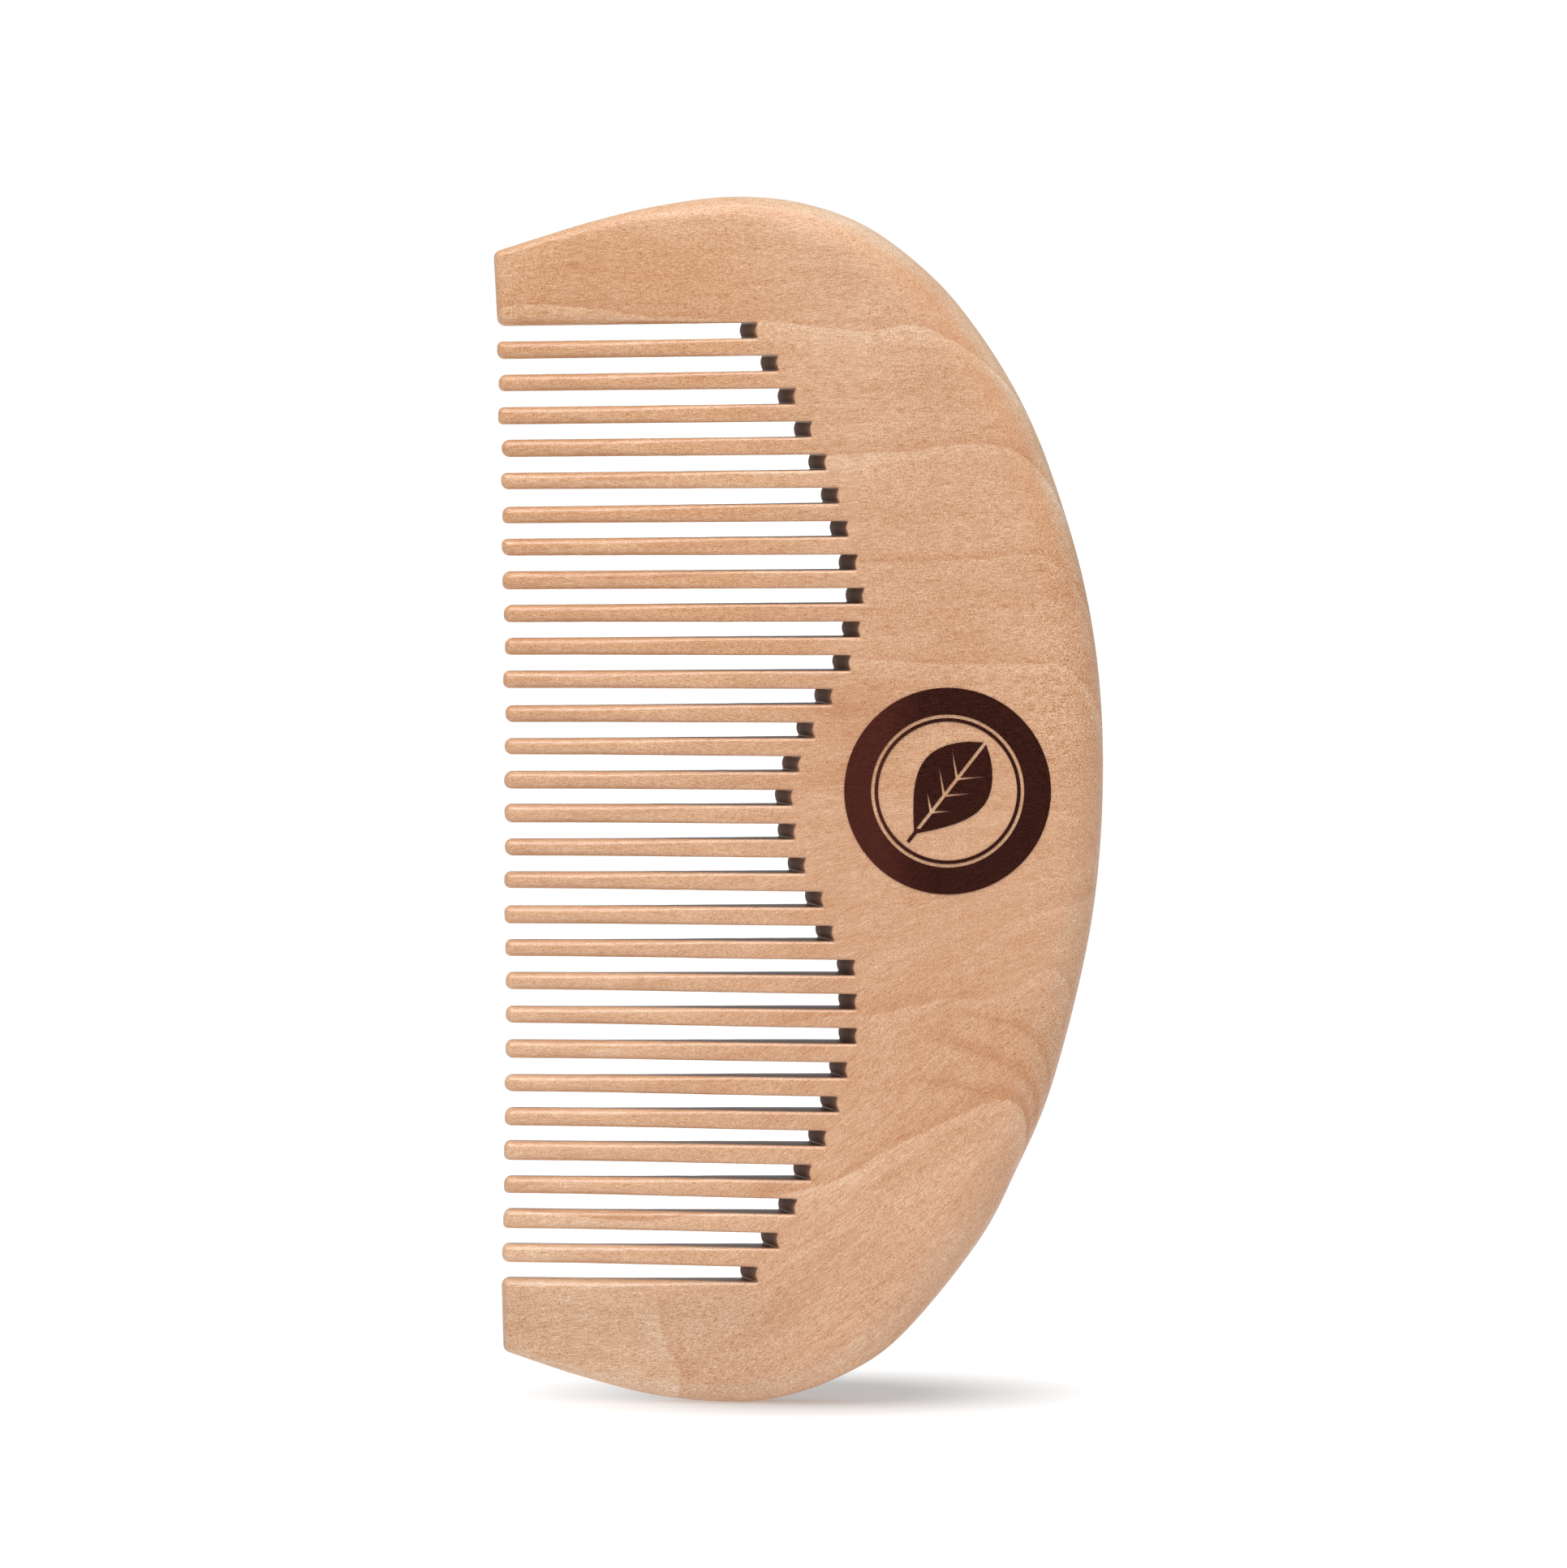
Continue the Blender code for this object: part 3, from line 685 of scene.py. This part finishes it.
def colour_change(tree, place, speckle):
    """What the colour is multiplied by: the foot's shade, the speckle, and the paler lower teeth and deeper
    upper ones.
    """
    x, _, z = place
    change = calc(tree, "MULTIPLY_ADD", eased(tree, z, *FOOT_SHADE_Z), FOOT_SHADE, 1.0 - FOOT_SHADE)
    in_guard = calc(tree, "MULTIPLY", faded(tree, x, *LOW_GUARD_X), faded(tree, z, *LOW_GUARD_Z))
    change = calc(tree, "MULTIPLY_ADD", in_guard, -LOW_GUARD_SHADE, change)
    paler_teeth = calc(tree, "MULTIPLY", faded(tree, x, *LOWER_TEETH_X), faded(tree, z, *LOWER_TEETH_Z))
    deeper_teeth = calc(tree, "MULTIPLY", faded(tree, x, *UPPER_TEETH_X), eased(tree, z, *UPPER_TEETH_Z))
    for tint, share in ((SPECKLE_DEPTH, speckle), (LOWER_TEETH_CHANGE, paler_teeth), (UPPER_TEETH_CHANGE, deeper_teeth)):
        change = combined(tree, "ADD", change, scaled(tree, tint, share))
    return change


def wood_grain(tree):
    """The wood's colour and its speckle at a place in the board, and that place."""
    place = board_place(tree)
    grain = grain_place(tree, place)
    tone = patch_tone(tree, place, ring_tone(tree, place, grain_tone(tree, grain)))
    colour = add(tree, "ValToRGB", {"Fac": tone})
    stops = colour.node.color_ramp.elements
    stops.new(0.5)
    for stop, shade in zip(stops, WOOD_SHADES):
        stop.color = (*shade, 1.0)
    speckle = speckle_of(tree, grain)
    return combined(tree, "MULTIPLY", colour, colour_change(tree, place, speckle)), speckle, place


def scorch_shade_colour(tree, place):
    """The colour of the saw's walls: scorched brown, darkened further as painted shade, with streaks across
    the cut.
    """
    streaks = calc(tree, "MULTIPLY_ADD", grain_noise(tree, place, *CHAR), SCORCH_SHADE_STREAKS, 1.0)
    return scaled(tree, SCORCH_SHADE_COLOUR, streaks)


def new_material(name):
    """A new material, its node tree and its shader."""
    made = bpy.data.materials.new(name)
    made.use_nodes = True
    return made, made.node_tree, made.node_tree.nodes["Principled BSDF"]


def scorch_shade_material():
    """The dull, fully scorched wood at the slots' ends, darkened further as painted shade."""
    made, tree, shader = new_material("scorched_shaded_wood")
    tree.links.new(scorch_shade_colour(tree, board_place(tree)), shader.inputs["Base Color"])
    shader.inputs["Roughness"].default_value = SCORCH_SHADE_ROUGHNESS
    shader.inputs["Specular IOR Level"].default_value = SCORCH_SHADE_SPECULAR
    return made


def wood_material():
    """The comb's wood, paled on the rounding for sanding and as painted sheen, and browned where the saw has
    scorched it and as painted shade in the slots.
    """
    made, tree, shader = new_material("wood_grain")
    colour, speckle, place = wood_grain(tree)
    # The rounding's paling, for sanding and as painted sheen
    sanded_sheen = add(tree, "Attribute", output="Fac", attribute_name="sanded_sheen")
    paling = combined(tree, "ADD", scaled(tree, SANDED_SHEEN_CHANGE, sanded_sheen), (1.0, 1.0, 1.0))
    colour = combined(tree, "MULTIPLY", colour, paling)
    # The saw's scorch with painted shade in the slots, mixed in by its attribute
    scorch = add(tree, "Attribute", output="Fac", attribute_name="scorch")
    mixed = {"Factor": scorch, MIX_FIRST: colour, MIX_SECOND: scorch_shade_colour(tree, place)}
    colour = add(tree, "Mix", mixed, output=MIX_RESULT, data_type="RGBA")
    tree.links.new(colour, shader.inputs["Base Color"])
    roughness = calc(tree, "MULTIPLY_ADD", speckle, -SPECKLE_GLOSS, WOOD_ROUGHNESS)
    roughness = calc(tree, "MULTIPLY_ADD", calc(tree, "ABSOLUTE", sanded_sheen), SANDED_ROUGHNESS, roughness)
    tree.links.new(roughness, shader.inputs["Roughness"])
    shader.inputs["Specular IOR Level"].default_value = WOOD_SPECULAR
    return made


def ink_material():
    """A dark brown print that has soaked into the wood, so that the speckle shows through it."""
    made, tree, shader = new_material("ink_print")
    _, speckle, place = wood_grain(tree)
    strength = calc(tree, "MULTIPLY_ADD", faded(tree, place[0], *INK_THINS_X), INK_THINNING, 1.0)
    strength = calc(tree, "MULTIPLY_ADD", speckle, INK_SPECKLE, strength)
    tree.links.new(scaled(tree, INK, strength), shader.inputs["Base Color"])
    roughness = calc(tree, "MULTIPLY_ADD", speckle, INK_SPECKLE_ROUGHNESS, INK_ROUGHNESS)
    tree.links.new(roughness, shader.inputs["Roughness"])
    shader.inputs["Specular IOR Level"].default_value = INK_SPECULAR
    bump = add(tree, "Bump", {"Height": speckle, "Strength": INK_BUMP, "Distance": INK_BUMP_HEIGHT * MM})
    tree.links.new(bump, shader.inputs["Normal"])
    return made


# ---------------------------------------------------------------- studio

CAMERA_DISTANCE = 1220.0
CAMERA_ELEVATION = math.radians(2.0)
CAMERA_LENS, CAMERA_SENSOR = 281.4, 36.0
FRAMING = Vector((-1.5, 0.0, 1.6))  # the view's centre from the comb's

# Suns: the way to them, how wide they are in degrees, and their strength
KEY_SUN = ((-0.13, -0.46, 0.88), 50.0, 1.27)
FILL_SUN = ((0.10, -0.38, -0.92), 90.0, 0.34)
FLOOR_SUN = ((0.0, 0.0, 1.0), 3.4, 0.80)  # the card shades it
FLOOR_FILL_SUN = ((0.0, 0.0, 1.0), 3.4, 0.32)
WORLD_STRENGTH = 0.56

FLOOR_SIZE, FLOOR_ALBEDO = 60000.0, 0.66
CARD_CENTRE, CARD_RADII, CARD_SIDES = Vector((1.5, 10.0, 400.0)), (21.5, 22.5), 48
BOUNCE_PLACE, BOUNCE_WAY = Vector((-6.0, -10.0, -9.0)), (0.0, -0.7, -0.7)
BOUNCE_SIZE, BOUNCE_POWER = (56.0, 10.0), 0.0022


def make_camera(centre):
    data = bpy.data.cameras.new("camera")
    data.sensor_fit = "VERTICAL"
    data.sensor_height = CAMERA_SENSOR
    data.lens = CAMERA_LENS
    camera = in_scene("camera", data)
    away = Vector((0.0, -math.cos(CAMERA_ELEVATION), math.sin(CAMERA_ELEVATION)))
    camera.location = centre + (FRAMING + CAMERA_DISTANCE * away) * MM
    camera.rotation_euler = (math.pi / 2.0 - CAMERA_ELEVATION, 0.0, 0.0)
    bpy.context.scene.camera = camera


def make_light(data, way, falls_on, blocked_by):
    """A light with this way to it, which falls on one collection of objects and is blocked by another."""
    light = in_scene(data.name, data)
    light.rotation_euler = Vector(way).to_track_quat("Z", "Y").to_euler()
    light.light_linking.receiver_collection = falls_on
    light.light_linking.blocker_collection = blocked_by
    return light


def make_sun(name, sun, falls_on, blocked_by):
    way, spread, strength = sun
    data = bpy.data.lights.new(name, "SUN")
    data.angle = math.radians(spread)
    data.energy = math.pi * strength
    make_light(data, way, falls_on, blocked_by)


def make_bounce(falls_on):
    """A strip below the floor, for the light that the bright paper throws onto the rim that stands on it."""
    data = bpy.data.lights.new("bounce_light", "AREA")
    data.shape = "RECTANGLE"
    data.size, data.size_y = (side * MM for side in BOUNCE_SIZE)
    data.energy = BOUNCE_POWER
    make_light(data, BOUNCE_WAY, falls_on, falls_on).location = BOUNCE_PLACE * MM


def make_world():
    """A white backdrop that lights the comb less brightly than it is seen."""
    world = bpy.data.worlds.new("studio")
    world.use_nodes = True
    tree = world.node_tree
    tree.nodes.clear()
    seen = add(tree, "LightPath", output="Is Camera Ray")
    strength = add(tree, "MapRange", {"Value": seen, "To Min": WORLD_STRENGTH, "To Max": 1.0})
    backdrop = add(tree, "Background", {"Color": (1.0, 1.0, 1.0, 1.0), "Strength": strength})
    tree.links.new(backdrop, tree.nodes.new("ShaderNodeOutputWorld").inputs["Surface"])
    bpy.context.scene.world = world


def make_shadow_card():
    """A card high over the floor and out of sight, which gives the comb its soft shadow."""
    angles = [math.tau * step / CARD_SIDES for step in range(CARD_SIDES)]
    corners = [
        (CARD_CENTRE + Vector((CARD_RADII[0] * math.cos(angle), CARD_RADII[1] * math.sin(angle), 0.0))) * MM
        for angle in angles
    ]
    mesh = bpy.data.meshes.new("shadow_card")
    mesh.from_pydata(corners, [], [tuple(range(CARD_SIDES))])
    card = in_scene("shadow_card", mesh)
    card.visible_camera = False
    card.visible_diffuse = False
    card.visible_glossy = False
    return card


def make_floor():
    mesh = bpy.data.meshes.new("floor")
    half = FLOOR_SIZE / 2.0 * MM
    corners = [(-half, -half, 0), (half, -half, 0), (half, half, 0), (-half, half, 0)]
    mesh.from_pydata(corners, [], [(0, 1, 2, 3)])
    finish, _, shader = new_material("floor_paper")
    shader.inputs["Base Color"].default_value = (FLOOR_ALBEDO, FLOOR_ALBEDO, FLOOR_ALBEDO, 1.0)
    shader.inputs["Roughness"].default_value = 1.0
    shader.inputs["Specular IOR Level"].default_value = 0.0
    mesh.materials.append(finish)
    floor = in_scene("floor", mesh)
    return floor


def group(name, objects):
    """A collection outside the scene, for a light to fall on or be blocked by."""
    made = bpy.data.collections.new(name)
    for member in objects:
        made.objects.link(member)
    return made


def make_studio(comb, printed):
    """The camera, the floor, and the lights, which reach either the comb or the floor."""
    make_camera((cad_box[0] + cad_box[1]) / 2.0)
    make_world()
    floor = make_floor()
    on_comb = group("on_comb", [comb, *(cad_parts[name] for name in printed)])
    make_sun("key_light", KEY_SUN, on_comb, on_comb)
    make_sun("fill_light", FILL_SUN, on_comb, on_comb)
    make_bounce(on_comb)
    on_floor = group("on_floor", [floor])
    make_sun("floor_light", FLOOR_SUN, on_floor, group("on_card", [make_shadow_card()]))
    make_sun("floor_fill", FLOOR_FILL_SUN, on_floor, on_floor)
    bpy.context.scene.view_settings.view_transform = "Standard"


def main():
    comb = make_comb()
    comb.data.materials.append(wood_material())
    comb.data.materials.append(scorch_shade_material())
    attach(comb, "root")
    printed = [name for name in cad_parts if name.startswith("printed_")]
    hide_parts(*(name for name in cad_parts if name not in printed))
    ink = ink_material()
    for name in printed:
        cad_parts[name].data.materials.clear()
        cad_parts[name].data.materials.append(ink)
    make_studio(comb, printed)


main()
